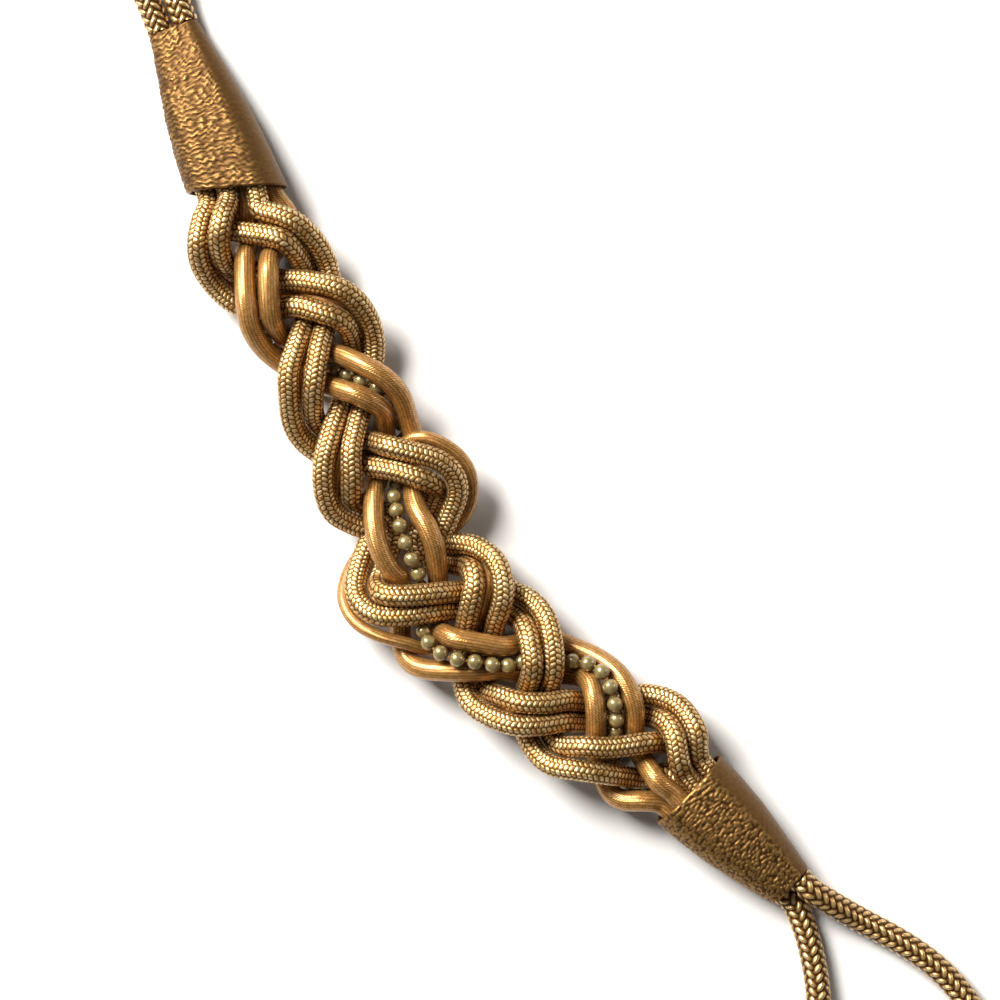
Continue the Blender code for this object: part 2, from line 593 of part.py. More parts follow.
NAMES = ("first_textured_cord_a", "first_textured_cord_b", "first_core_cord",
         "second_textured_cord_a", "second_textured_cord_b", "second_core_cord",
         "satin_cord_a", "satin_cord_b")
TEXTURED_STRAND = ((TEXTURED_RADIUS, 2, textured_gold), (TEXTURED_RADIUS, 2, textured_gold),
                   (CORE_RADIUS, 1, satin_gold))
SATIN_PAIR = ((SATIN_RADIUS, 2, satin_gold), (SATIN_RADIUS, 2, satin_gold))
CORDS = TEXTURED_STRAND * 2 + SATIN_PAIR
for cord_name, centre_line, (cord_radius, corners, gold) in zip(NAMES, LINES, CORDS):
    cord(cord_name, centre_line, cord_radius, corners, gold)
pearl_string(LINES[8], pearl)
wound_cuff("upper_wound_cuff", UPPER_CUFF, wound_thread)
wound_cuff("lower_wound_cuff", LOWER_CUFF, wound_thread)

TIES = (("upper_left", UPPER_CUFF, 0, UPPER_LEFT_TIE), ("upper_right", UPPER_CUFF, 1, UPPER_RIGHT_TIE),
        ("lower_left", LOWER_CUFF, 0, LOWER_LEFT_TIE), ("lower_right", LOWER_CUFF, 1, LOWER_RIGHT_TIE))
for place_name, tied_cuff, number, tie_route in TIES:
    tie = tie_line(tied_cuff, tied_cuff.tie_offsets[number], tie_route)
    cord(place_name + "_tie", tie, TIE_RADIUS, 2, satin_gold)
    tassel(place_name + "_tassel", tie, textured_gold)
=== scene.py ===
"""The looks of a braided belt of gold cords with wound cuffs and tasselled ties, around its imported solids.

Metres, +Z up, the floor at z = 0, the braid along +X.
"""
import math

import bmesh
import bpy
import numpy as np
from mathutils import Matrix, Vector


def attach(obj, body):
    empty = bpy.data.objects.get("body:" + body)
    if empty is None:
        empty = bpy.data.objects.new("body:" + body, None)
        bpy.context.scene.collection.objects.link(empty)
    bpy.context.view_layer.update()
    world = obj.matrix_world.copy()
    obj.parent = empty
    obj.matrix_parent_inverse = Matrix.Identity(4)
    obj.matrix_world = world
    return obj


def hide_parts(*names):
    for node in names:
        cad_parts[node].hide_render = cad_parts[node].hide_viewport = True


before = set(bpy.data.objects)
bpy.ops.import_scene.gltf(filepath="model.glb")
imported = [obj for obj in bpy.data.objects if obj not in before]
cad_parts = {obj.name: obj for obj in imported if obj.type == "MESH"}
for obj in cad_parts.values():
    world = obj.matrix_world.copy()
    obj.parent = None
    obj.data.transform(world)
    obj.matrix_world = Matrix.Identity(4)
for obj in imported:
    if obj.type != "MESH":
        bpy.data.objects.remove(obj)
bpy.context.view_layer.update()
bpy.ops.object.select_all(action="DESELECT")

# The view. The belt was photographed from straight above with its braid running down to the right, so the
# camera looks straight down and is turned with it.
MM = 0.001
PICTURE_RIGHT = Vector((0.60316, 0.79764, 0))
PICTURE_UP = Vector((-0.79764, 0.60316, 0))
PICTURE_CENTRE = Vector((12.06, 18.2, 8.0)) * MM
PICTURE_WIDTH = 250 * MM
LENS = 85

camera = bpy.data.objects.new("camera", bpy.data.cameras.new("camera"))
camera.data.lens = LENS
camera.data.sensor_width = 36
camera.data.clip_start = 0.01
camera_height = PICTURE_WIDTH * LENS / camera.data.sensor_width
camera.location = PICTURE_CENTRE + Vector((0, 0, camera_height))
camera.rotation_euler = (0, 0, math.atan2(PICTURE_RIGHT.y, PICTURE_RIGHT.x))
bpy.context.collection.objects.link(camera)
bpy.context.scene.camera = camera


# The textured cords. Four tubes knitted from gold thread, five wales round: each wale is two columns of fat
# stitches that lean together and interlock like teeth, so the lit side shows as rows of bright ovals. The
# tubes are round and firm, and go into the cuffs at both ends.
WALES = 5
STITCH = 1.20 * MM               # from one stitch of a column to the next
STITCH_LEAN = 0.45               # how far a stitch leans across its column, in stitches
STITCH_DEPTH = 0.26 * MM
STITCH_ROWS = 5                  # rows of the mesh to a stitch
LEG_COLUMNS = 5                  # columns of the mesh to a column of stitches
WALE_THREADS = 26                # fine threads across a wale
TEXTURED_RADIUS = 2.7 * MM


def welded(solid):
    """A solid's mesh with its doubled corners merged."""
    mesh = bmesh.new()
    mesh.from_mesh(solid.data)
    bmesh.ops.remove_doubles(mesh, verts=mesh.verts, dist=1e-6)
    return mesh


def rings_of(name):
    """The rings of corners that a CAD tube is made of, from one capped end to the other."""
    mesh = welded(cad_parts[name])
    mesh.normal_update()

    def flat_patch(face):
        patch, edge = {face}, [face]
        while edge:
            for side in edge.pop().edges:
                for other in side.link_faces:
                    if other not in patch and other.normal.dot(face.normal) > 0.99999:
                        patch.add(other)
                        edge.append(other)
        return patch

    cap = max((flat_patch(face) for face in mesh.faces), key=len)
    ring = {corner for face in cap for corner in face.verts}
    seen, rings = set(ring), []
    while ring:
        rings.append(np.array([corner.co[:] for corner in ring]))
        ring = {edge.other_vert(corner) for corner in ring for edge in corner.link_edges} - seen
        seen |= ring
    mesh.free()
    if rings[0][:, 0].mean() > rings[-1][:, 0].mean():
        rings.reverse()
    return rings


def middle_line(name):
    return np.array([ring.mean(0) for ring in rings_of(name)])


CURVE_CUTS = 16                  # places worked out between two points of a smooth line


def along_curve(points, step):
    """A smooth line through the points, with a place every step, its length so far, and how long it is."""
    padded = np.vstack([2 * points[0] - points[1], points, 2 * points[-1] - points[-2]])
    t = np.linspace(0, 1, CURVE_CUTS, endpoint=False)[:, None]
    fine = []
    for a, b, c, d in zip(padded, padded[1:], padded[2:], padded[3:]):
        fine.append(0.5 * (2 * b + (c - a) * t + (2 * a - 5 * b + 4 * c - d) * t ** 2
                           + (3 * b - a - 3 * c + d) * t ** 3))
    fine = np.vstack(fine + [points[-1:]])
    length = np.concatenate([[0.0], np.cumsum(np.linalg.norm(np.diff(fine, axis=0), axis=1))])
    count = max(2, round(length[-1] / step) + 1)
    at = np.linspace(0, length[-1], count)
    return np.stack([np.interp(at, length, fine[:, axis]) for axis in range(3)], 1), at


def normalised(vectors):
    return vectors / np.linalg.norm(vectors, axis=-1, keepdims=True)


def carried_frames(line):
    """Two directions across a line at each of its places, turning as little as they can."""
    ahead = normalised(np.gradient(line, axis=0))
    across = np.zeros_like(line)
    across[0] = np.cross(ahead[0], (0.0, 0.0, 1.0))
    across[0] /= np.linalg.norm(across[0])
    for place in range(1, len(line)):
        turned = across[place - 1] - ahead[place] * (across[place - 1] @ ahead[place])
        across[place] = turned / np.linalg.norm(turned)
    return across, np.cross(ahead, across)


def piece_from_grid(name, grid, u, v, raised):
    """A closed tube from a grid of places, rows along it and columns round it, with a UV map of u and v.

    raised says how high the thread stands at each place, 0 to 1.
    """
    rows, columns = grid.shape[:2]
    corner = np.arange(rows * columns).reshape(rows, columns)
    after = np.roll(corner, -1, axis=1)
    quads = np.stack([corner[:-1], corner[1:], after[1:], after[:-1]], -1).reshape(-1, 4)
    ends = [list(corner[0]), list(corner[-1][::-1])]
    mesh = bpy.data.meshes.new(name)
    mesh.from_pydata(grid.reshape(-1, 3).tolist(), [], quads.tolist() + ends)
    v_round = np.append(v, 1.0)
    u_corners = np.repeat(u[:, None], columns, 1)
    uv = np.zeros((len(quads), 4, 2))
    uv[:, 0, 0] = uv[:, 3, 0] = u_corners[:-1].ravel()
    uv[:, 1, 0] = uv[:, 2, 0] = u_corners[1:].ravel()
    uv[:, 0, 1] = uv[:, 1, 1] = np.tile(v_round[:-1], rows - 1)
    uv[:, 2, 1] = uv[:, 3, 1] = np.tile(v_round[1:], rows - 1)
    layer = mesh.uv_layers.new(name="UVMap")
    flat = np.zeros(len(mesh.loops) * 2)
    flat[:uv.size] = uv.ravel()
    layer.data.foreach_set("uv", flat)
    heights = mesh.attributes.new("raised", "FLOAT", "POINT")
    heights.data.foreach_set("value", raised.astype(np.float32).ravel())
    mesh.shade_smooth()
    piece = bpy.data.objects.new(name, mesh)
    bpy.context.collection.objects.link(piece)
    return piece


def cord_piece(name, line, radius, row_step, columns, relief):
    """A cord along a line, its radius changed by relief(length so far, share of the way round)."""
    places, at = along_curve(line, row_step)
    across, up = carried_frames(places)
    share = np.arange(columns) / columns
    angle = 2 * math.pi * share
    high = np.broadcast_to(relief(at[:, None], share[None, :]), (len(at), columns))
    reach = radius + high
    out = np.cos(angle)[None, :, None] * across[:, None] + np.sin(angle)[None, :, None] * up[:, None]
    grid = places[:, None] + reach[..., None] * out
    grid[..., 2] = np.maximum(grid[..., 2], 0.0)
    return piece_from_grid(name, grid, at, share, (high - high.min()) / np.ptp(high))


def knitted(at, share):
    """Relief of knitted wales: two columns of slanted ovals, half a stitch apart."""
    place = share * WALES % 1.0
    leg = np.abs(2 * place - 1)
    across_leg = np.abs(np.sin(2 * math.pi * place))
    along = at / STITCH + STITCH_LEAN * leg + 0.5 * (place > 0.5)
    oval = np.abs(np.sin(math.pi * along)) ** 0.9 * across_leg ** 0.5
    return STITCH_DEPTH * (oval - 0.75)


class Wire:
    """A shader socket that Python's own operators work on."""

    def __init__(self, tree, socket):
        self.tree, self.socket = tree, socket

    def make(self, operation, *values):
        return node(self.tree, "ShaderNodeMath", {"operation": operation}, dict(enumerate(values)))

    def __add__(self, other):
        return self.make("ADD", self, other)

    __radd__ = __add__

    def __sub__(self, other):
        return self.make("SUBTRACT", self, other)

    def __rsub__(self, other):
        return self.make("SUBTRACT", other, self)

    def __mul__(self, other):
        return self.make("MULTIPLY", self, other)

    __rmul__ = __mul__

    def __pow__(self, other):
        return self.make("POWER", self, other)

    def __mod__(self, other):
        return self.make("FLOORED_MODULO", self, other)

    def sine(self):
        return self.make("SINE", self)

    def size(self):
        return self.make("ABSOLUTE", self)

    def above(self, limit):
        """1 where it is more than limit, and 0 elsewhere."""
        return self.make("GREATER_THAN", self, limit)

    def between(self, low, high):
        """0 at low and 1 at high, smooth between them."""
        return node(self.tree, "ShaderNodeMapRange", {"interpolation_type": "SMOOTHSTEP"},
                    {"Value": self, "From Min": low, "From Max": high})


def node(tree, kind, settings=None, values=None, output=0):
    """Adds a shader node: its settings first, then its sockets' values or the wires that feed them."""
    made = tree.nodes.new(kind)
    for name, value in (settings or {}).items():
        setattr(made, name, value)
    for name, value in (values or {}).items():
        if isinstance(value, Wire):
            tree.links.new(value.socket, made.inputs[name])
        else:
            made.inputs[name].default_value = value
    return Wire(tree, made.outputs[output])


def parts_of(tree, vector):
    """The three numbers of a vector."""
    split = tree.nodes.new("ShaderNodeSeparateXYZ")
    tree.links.new(vector.socket, split.inputs[0])
    return [Wire(tree, part) for part in split.outputs]


def blotchy(tree, scale, detail):
    """Noise from 0 to 1 that stays with the object, about scale blotches to a metre."""
    place = node(tree, "ShaderNodeTexCoord", output="Object")
    return node(tree, "ShaderNodeTexNoise", {}, {"Vector": place, "Scale": scale, "Detail": detail})


def finish_of(name, **fixed):
    """A new material and its principled shader, with the sockets that are the same all over."""
    material = bpy.data.materials.new(name)
    material.use_nodes = True
    shader = material.node_tree.nodes["Principled BSDF"]
    for socket, value in fixed.items():
        shader.inputs[socket.replace("_", " ")].default_value = value
    return material, material.node_tree, shader


def plug(tree, wire, socket):
    tree.links.new(wire.socket, socket)


MIX_SHARE, MIX_FIRST, MIX_SECOND, MIX_RESULT = 0, 6, 7, 2   # where a colour mix has its sockets


def colour_mix(tree, share, first, second):
    """first where share is 0 and second where it is 1."""
    ends = [end if isinstance(end, Wire) else (*end, 1) for end in (first, second)]
    return node(tree, "ShaderNodeMix", {"data_type": "RGBA"},
                {MIX_SHARE: share, MIX_FIRST: ends[0], MIX_SECOND: ends[1]}, output=MIX_RESULT)


def wear(piece, material, slot_name, *nodes_replaced):
    """Dresses a finished piece, hangs it from the root body and hides the CAD parts that it replaces."""
    piece.data.materials.clear()
    piece.data.materials.append(material)
    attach(piece, "root")
    if nodes_replaced:
        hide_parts(*nodes_replaced)


textured, tree, shader = finish_of("knitted gold thread", Metallic=0.9, Coat_Roughness=0.40)
length_along, way_round, _ = parts_of(tree, node(tree, "ShaderNodeUVMap"))
wale = way_round * WALES % 1.0
leg = (wale * 2 - 1).size()
stitch = length_along * (1 / STITCH) + leg * STITCH_LEAN + wale.above(0.5) * 0.5
crown = (stitch * math.pi).sine().size()
leg_crown = (wale * (2 * math.pi)).sine().size()
raised = crown * leg_crown ** 0.6
thread_lines = ((wale * WALE_THREADS + stitch * 2) * (2 * math.pi)).sine()
flecks = blotchy(tree, 6000, 2)
drift = blotchy(tree, 700, 2)
# The first colour is painted shade, given to the low places between the stitches where the relief sinks.
painted_gap_shade_colour = (0.12, 0.042, 0.004)
thread_colour = (0.52, 0.290, 0.080)
pale_colour = (0.86, 0.640, 0.320)
gold = colour_mix(tree, drift.between(0.35, 0.65), thread_colour, pale_colour)
gold = colour_mix(tree, raised.between(0.15, 0.60), painted_gap_shade_colour, gold)
plug(tree, gold, shader.inputs["Base Color"])
plug(tree, 0.28 + flecks * 0.12 + (1 - raised) * 0.25, shader.inputs["Roughness"])
plug(tree, raised * raised, shader.inputs["Coat Weight"])
bump = node(tree, "ShaderNodeBump", {}, {"Strength": 0.3, "Distance": 0.04 * MM, "Height": thread_lines})
plug(tree, bump, shader.inputs["Normal"])

for cord_name in ("first_textured_cord_a", "first_textured_cord_b",
                  "second_textured_cord_a", "second_textured_cord_b"):
    piece = cord_piece(cord_name + "_knit", middle_line(cord_name), TEXTURED_RADIUS, STITCH / STITCH_ROWS,
                       WALES * 2 * LEG_COLUMNS, knitted)
    wear(piece, textured, "textured_gold_cord", cord_name)


# The satin cords. Two thick ones of the pearled strand and two thinner ones that fill the valley between each
# pair of textured cords: fine shiny ribs of thread run lengthwise over a soft core.
SATIN_RIBS = 20
CORE_RIBS = 12
RIB_COLUMNS = 3
SATIN_ROW_STEP = 0.75 * MM
RIB_DEPTH = 0.11 * MM
RIB_STITCH = 0.58 * MM           # from one tack across a rib to the next
SATIN_RADIUS = 2.6 * MM
CORE_RADIUS = 1.6 * MM


def ribbed(ribs):
    """Relief of lengthwise ribs."""
    return lambda at, share: RIB_DEPTH * (np.abs(np.cos(math.pi * share * ribs)) - 0.75)


def satin_finish(name, ribs, shade_and_tones):
    material, tree, shader = finish_of(name, Metallic=0.6, Coat_Weight=0.35, Coat_Roughness=0.24)
    length_along, way_round, _ = parts_of(tree, node(tree, "ShaderNodeUVMap"))
    rib = ((way_round * ribs + 0.5) * math.pi).sine().size()
    tack = (length_along * (math.pi / RIB_STITCH) + way_round * (ribs * math.pi)).sine().size() ** 0.6
    drift = blotchy(tree, 1200, 3)
    satin = colour_mix(tree, drift.between(0.35, 0.65), shade_and_tones[1], shade_and_tones[2])
    # Painted shade: the first colour darkens the low places between the ribs and the tacks.
    satin = colour_mix(tree, (rib ** 0.5 * tack).between(0.1, 0.7), shade_and_tones[0], satin)
    plug(tree, satin, shader.inputs["Base Color"])
    plug(tree, 0.34 - rib * 0.08 + drift * 0.08, shader.inputs["Roughness"])
    bump = node(tree, "ShaderNodeBump", {}, {"Strength": 0.8, "Distance": 0.10 * MM, "Height": tack * rib})
    plug(tree, bump, shader.inputs["Normal"])
    return material


# The darkest colour is painted shade for the gaps between the ribs; the other two are the thread's own tones.
satin_shade_and_tones = ((0.16, 0.055, 0.007), (0.47, 0.230, 0.054), (0.65, 0.365, 0.118))
satin = satin_finish("ribbed satin thread", SATIN_RIBS, satin_shade_and_tones)
core_satin = satin_finish("ribbed core thread", CORE_RIBS, satin_shade_and_tones)
for cord_name, radius, ribs, gold in (("satin_cord_a", SATIN_RADIUS, SATIN_RIBS, satin),
                                      ("satin_cord_b", SATIN_RADIUS, SATIN_RIBS, satin),
                                      ("first_core_cord", CORE_RADIUS, CORE_RIBS, core_satin),
                                      ("second_core_cord", CORE_RADIUS, CORE_RIBS, core_satin)):
    piece = cord_piece(cord_name + "_ribs", middle_line(cord_name), radius, SATIN_ROW_STEP,
                       ribs * RIB_COLUMNS, ribbed(ribs))
    wear(piece, gold, "satin_gold_cord", cord_name)


# The pearls. Round olive-cream beads of glossy pearl finish, drilled and strung close together on a thin
# thread between the two satin cords. Each is a ball pressed in a little at both poles.
PEARL_RADIUS = 2.0 * MM
PEARL_SEGMENTS = 24
PEARL_RINGS = 14
PEARL_THREAD_RADIUS = 0.35 * MM

string_rings = rings_of("pearl_string")
ring_middles = np.array([ring.mean(0) for ring in string_rings])
ring_radii = np.array([np.linalg.norm(ring - ring.mean(0), axis=1).mean() for ring in string_rings])
wide = ring_radii > PEARL_RADIUS / 2
pearl_middles = [(ring_middles[row] + ring_middles[row + 1]) / 2
                 for row in range(len(wide) - 1) if wide[row] and wide[row + 1]]

bpy.ops.mesh.primitive_uv_sphere_add(segments=PEARL_SEGMENTS, ring_count=PEARL_RINGS, radius=PEARL_RADIUS)
one_pearl = bpy.context.object
bpy.ops.object.mode_set(mode="EDIT")
bpy.ops.mesh.select_all(action="DESELECT")
drilled = bmesh.from_edit_mesh(one_pearl.data)
for corner in drilled.verts:
    corner.select = abs(corner.co.z) > PEARL_RADIUS * 0.999
bmesh.update_edit_mesh(one_pearl.data)
bpy.ops.transform.resize(value=(1, 1, 0.9))
bpy.ops.object.mode_set(mode="OBJECT")
bpy.ops.object.shade_smooth()
ball = np.array([corner.co[:] for corner in one_pearl.data.vertices])
ball_faces = [tuple(face.vertices) for face in one_pearl.data.polygons]
bpy.data.objects.remove(one_pearl)

places, faces = [], []
heading = normalised(np.gradient(np.array(pearl_middles), axis=0))
for number, (middle, ahead) in enumerate(zip(pearl_middles, heading)):
    side = normalised(np.cross(ahead, (0.0, 0.0, 1.0)))
    basis = np.stack([side, np.cross(ahead, side), ahead])
    base = number * len(ball)
    places += (middle + ball @ basis).tolist()
    faces += [tuple(base + corner for corner in face) for face in ball_faces]
pearls_mesh = bpy.data.meshes.new("pearls")
pearls_mesh.from_pydata(places, [], faces)
pearls_mesh.shade_smooth()
pearls = bpy.data.objects.new("pearls", pearls_mesh)
bpy.context.collection.objects.link(pearls)

pearl_finish, tree, shader = finish_of("olive pearl lustre", Metallic=0.45, Roughness=0.28, Coat_Weight=1.0,
                                       Coat_Roughness=0.14)
cloud = blotchy(tree, 900, 3)
_, _, facing_up = parts_of(tree, node(tree, "ShaderNodeNewGeometry", output="Normal"))
# Painted shade: the pearls darken towards their sides, away from their upward-facing tops.
painted_flank_shade = (1 - facing_up).between(0.25, 1.15)
olive = colour_mix(tree, cloud.between(0.35, 0.65), (0.25, 0.19, 0.070), (0.37, 0.29, 0.125))
olive = colour_mix(tree, painted_flank_shade, olive, (0.10, 0.055, 0.012))
plug(tree, olive, shader.inputs["Base Color"])
wear(pearls, pearl_finish, "olive_pearl", "pearl_string")

thread_curve = bpy.data.curves.new("pearl_thread", "CURVE")
thread_curve.dimensions = "3D"
thread_curve.bevel_depth = PEARL_THREAD_RADIUS
thread_curve.bevel_resolution = 1
thread_curve.use_fill_caps = True
spline = thread_curve.splines.new("POLY")
spline.points.add(len(ring_middles) - 1)
for point, place in zip(spline.points, ring_middles):
    point.co = (*place, 1)
pearl_thread = bpy.data.objects.new("pearl_thread", thread_curve)
bpy.context.collection.objects.link(pearl_thread)
wear(pearl_thread, core_satin, "satin_gold_cord")


# The wound cuffs. Fine gold thread is wound tight round the gathered cords, thickest at the braid's mouth and
# tapering to the ties. On the upper cuff the turns run round it and waver to and fro; on the lower one they
# cross, which gives a pebbly skin. The mouth is a rolled lip, open as deep as the cords go in.
CUFF_ROW_STEP = 0.2 * MM
CUFF_COLUMNS = 160
CUFF_WALL = 1.1 * MM
POCKET_DEPTH = 6.0 * MM
POCKET_ROWS = 5
LIP_ROWS = 6
LIP_SHARE = 0.45                 # how far the lip's rounding goes, in walls
LIP_RELIEF = 0.35                # share of the winding's relief that is left on the lip and inside
TIED_WIDTH = 13.0 * MM
# share of the way from tied end to mouth, share of the way in width and in height
CUFF_SECTIONS = ((0.00, 0.00, 0.00), (0.10, 0.14, 0.16), (0.30, 0.42, 0.45), (0.55, 0.74, 0.72),
                 (0.80, 0.92, 0.90), (1.00, 1.00, 1.00))
TURN_PITCH = 1.35 * MM
TURN_WAVER = 0.55                # how far a turn wanders, in turns
WAVE_LENGTH = 2.6 * MM
TURN_DEPTH = 0.46 * MM
PEBBLE = 0.88 * MM
PEBBLE_DEPTH = 0.38 * MM
FLAT_SHADED_FROM = 0.48               # share of the half width beyond which one side is wound flat and darkened as painted shade
FLAT_SHADED_BLEND = 0.14
# how high the thread stands on the flat side; set low, it also colours that side darker, which is painted
# shade
FLAT_SIDE_HEIGHT_AND_SHADE = 0.24
HAIR_PITCH = 0.33 * MM           # from one fine thread of the winding to the next


def lattice(x, y, seed):
    """A steady pseudo-random value for each whole x and y."""
    mixed = np.sin(x * 127.1 + y * 311.7 + seed * 74.7) * 43758.5453
    return mixed - np.floor(mixed)


def blotches(x, y, seed):
    """Smooth blotches from 0 to 1, about one unit wide."""
    left, low = np.floor(x), np.floor(y)
    a, b = x - left, y - low
    a, b = a * a * (3 - 2 * a), b * b * (3 - 2 * b)
    bottom = lattice(left, low, seed) * (1 - a) + lattice(left + 1, low, seed) * a
    top = lattice(left, low + 1, seed) * (1 - a) + lattice(left + 1, low + 1, seed) * a
    return bottom * (1 - b) + top * b


def wavering_turns(along, round_it):
    """How high the thread stands, 0 to 1, where its turns run round the cuff and wave."""
    wander = TURN_WAVER * (blotches(round_it / (5.0 * MM), along / (5.0 * MM), 1) * 2 - 1)
    wave = round_it / WAVE_LENGTH + 1.6 * blotches(round_it / (4.0 * MM), along / (1.5 * MM), 2)
    turn = along / TURN_PITCH + wander + 0.24 * np.sin(2 * math.pi * wave)
    row = np.floor(turn)
    crest = np.sin(math.pi * (turn - row)) ** 1.1
    tall = 0.15 + 0.85 * blotches(round_it / (1.2 * MM), row * 1.7, 3)
    return crest * tall


def crossed_turns(along, round_it):
    """The same where the turns cross over each other: round bumps with no order to them."""
    x, y = np.broadcast_arrays(along / PEBBLE, round_it / PEBBLE)
    near = np.full(x.shape, 9.0)
    for to_left in (-1, 0, 1):
        for lower in (-1, 0, 1):
            left, low = np.floor(x) + to_left, np.floor(y) + lower
            bump = np.hypot(x - left - lattice(left, low, 5), y - low - lattice(left, low, 6))
            near = np.minimum(near, bump + 0.25 * lattice(left, low, 7))
    return np.maximum(0.0, 1 - 1.5 * near ** 2)


def stadium(width, height, count):
    """A ring of evenly spaced places, round at both sides and flat above and below, with its outward ways."""
    straight = (width - height) / 2
    bow = math.pi * height / 2
    around = 2 * bow + 4 * straight
    places, ways = [], []
    for at in np.arange(count) / count * around:
        if at < bow:
            angle = at / height * 2 - math.pi / 2
            middle = straight
        elif at < bow + 2 * straight:
            places.append((straight - (at - bow), height / 2))
            ways.append((0.0, 1.0))
            continue
        elif at < 2 * bow + 2 * straight:
            angle = (at - bow - 2 * straight) / height * 2 + math.pi / 2
            middle = -straight
        else:
            places.append((at - 2 * bow - 3 * straight, -height / 2))
            ways.append((0.0, -1.0))
            continue
        places.append((middle + math.cos(angle) * height / 2, math.sin(angle) * height / 2))
        ways.append((math.cos(angle), math.sin(angle)))
    return np.array(places), np.array(ways), np.arange(count) / count * around


def cuff_piece(name, mouth, turn, slant, length, mouth_width, mouth_height, tied_height, winding, depth,
               flat_shaded_side):
    """Rows from the tied end to the mouth, over the lip and down into the pocket.

    turn is the way that the cuff points from its mouth, slant how far back the mouth leans across its width,
    and the last argument the side on which the thread is wound flat and its colour darkened, which is painted
    shade.
    """
    out = np.array((math.cos(turn), math.sin(turn), 0.0))
    side = np.array((-math.sin(turn), math.cos(turn), 0.0))
    table = np.array(CUFF_SECTIONS)
    rows = round(length / CUFF_ROW_STEP)
    share = np.linspace(0, 1, rows)
    widths = TIED_WIDTH + (mouth_width - TIED_WIDTH) * np.interp(share, table[:, 0], table[:, 1])
    heights = tied_height + (mouth_height - tied_height) * np.interp(share, table[:, 0], table[:, 2])
    slants = slant * share ** 2
    stations = [(length * (1 - at), width, height, 0.0) for at, width, height in zip(share, widths, heights)]
    rounding = LIP_SHARE * CUFF_WALL
    for step in range(1, LIP_ROWS + 1):
        angle = math.pi * step / LIP_ROWS
        sunk = rounding * (1 - math.cos(angle))
        stations.append((-rounding * math.sin(angle), mouth_width, mouth_height, sunk))
    for step in range(1, POCKET_ROWS + 1):
        stations.append((POCKET_DEPTH * step / POCKET_ROWS, mouth_width, mouth_height, 2 * rounding))
    grid, raised, reached = [], [], []
    for station, (back, width, height, sunk) in enumerate(stations):
        places, ways, round_it = stadium(width, height, CUFF_COLUMNS)
        high = winding(length - back if station < rows else np.full(1, length + sunk), round_it)
        # The flat side keeps little relief and a low raised value, so its colour darkens there: painted shade
        # on one side.
        outward = flat_shaded_side * places[:, 0] / (width / 2)
        flat = np.clip((outward - FLAT_SHADED_FROM) / FLAT_SHADED_BLEND, 0, 1)
        high = high + (FLAT_SIDE_HEIGHT_AND_SHADE + high * 0.12 - high) * flat
        fade = 1.0 if station < rows else LIP_RELIEF
        places = places + ways * ((high * depth * fade - depth * 0.6) - sunk)[:, None]
        slanted = slants[min(station, rows - 1)]
        spot = mouth + out * back + (side + out * slanted) * places[:, :1]
        spot[:, 2] = np.maximum(0.0, height / 2 + places[:, 1])
        grid.append(spot)
        raised.append(high)
        reached.append(length - back if station < rows else length + sunk)
    return piece_from_grid(name, np.array(grid), np.array(reached), np.arange(CUFF_COLUMNS) / CUFF_COLUMNS,
                           np.array(raised))


wound, tree, shader = finish_of("wound gold thread", Metallic=0.75)
raised = node(tree, "ShaderNodeAttribute", {"attribute_name": "raised"}, output="Fac")
length_along, _, _ = parts_of(tree, node(tree, "ShaderNodeUVMap"))
drift = blotchy(tree, 3500, 4)
hairs = (length_along * (2 * math.pi / HAIR_PITCH) + drift * 9).sine()
thread = colour_mix(tree, drift.between(0.35, 0.65), (0.22, 0.110, 0.026), (0.34, 0.194, 0.062))
# Painted shade: the low places between the turns, and the flat side, take a dark brown.
thread = colour_mix(tree, raised.between(0.05, 0.75), (0.085, 0.037, 0.008), thread)
plug(tree, thread, shader.inputs["Base Color"])
plug(tree, 0.46 - raised * 0.14 + drift * 0.08, shader.inputs["Roughness"])
bump = node(tree, "ShaderNodeBump", {}, {"Strength": 0.35, "Distance": 0.05 * MM, "Height": hairs})
plug(tree, bump, shader.inputs["Normal"])

upper_cuff = cuff_piece("upper_cuff_winding", mouth=np.array((-89.66, 12.62, 0)) * MM,
                        turn=math.radians(164.8), slant=0.32, length=44 * MM, mouth_width=24.4 * MM,
                        mouth_height=15.8 * MM, tied_height=6.5 * MM, winding=wavering_turns,
                        depth=TURN_DEPTH, flat_shaded_side=-1)
wear(upper_cuff, wound, "wound_gold_thread", "upper_wound_cuff")
lower_cuff = cuff_piece("lower_cuff_winding", mouth=np.array((98.34, 12.43, 0)) * MM,
                        turn=math.radians(9.2), slant=0.0, length=35 * MM, mouth_width=23.4 * MM,
                        mouth_height=16.2 * MM, tied_height=10.6 * MM, winding=crossed_turns,
                        depth=PEBBLE_DEPTH, flat_shaded_side=1)
wear(lower_cuff, wound, "wound_gold_thread", "lower_wound_cuff")


# The ties. Two coarse round braids come out of each cuff's narrow end and run along the floor: eight strands
# one way round and eight the other, each over two and under two, so that slanted ovals stand in columns.
TIE_RADIUS = 3.2 * MM
TIE_STRANDS = 8
TIE_LAY = 2.3 * MM               # from one oval of a column to the next
TIE_ROW_STEP = 0.24 * MM
TIE_COLUMNS = 80
BRAID_DEPTH = 0.70 * MM
STRAND_THREADS = 5               # fine threads across a strand
TIE_PATH_STEP = 1.5 * MM


def braided(at, share):
    """Relief of a round braid: each strand lies on top for two crossings, then below for two."""
    one = TIE_STRANDS * share + at / TIE_LAY
    other = TIE_STRANDS * share - at / TIE_LAY
    crossing = (np.floor(one) + np.floor(other)) % 4
    one_on_top = crossing < 2
    across = np.where(one_on_top, one % 1, other % 1)
    along = np.where(one_on_top, (crossing + other % 1) / 2, (crossing - 2 + one % 1) / 2)
    height = np.sin(math.pi * across) ** 0.8 * (0.2 + 0.8 * np.sin(math.pi * along) ** 0.7)
    return BRAID_DEPTH * (height - 0.8)


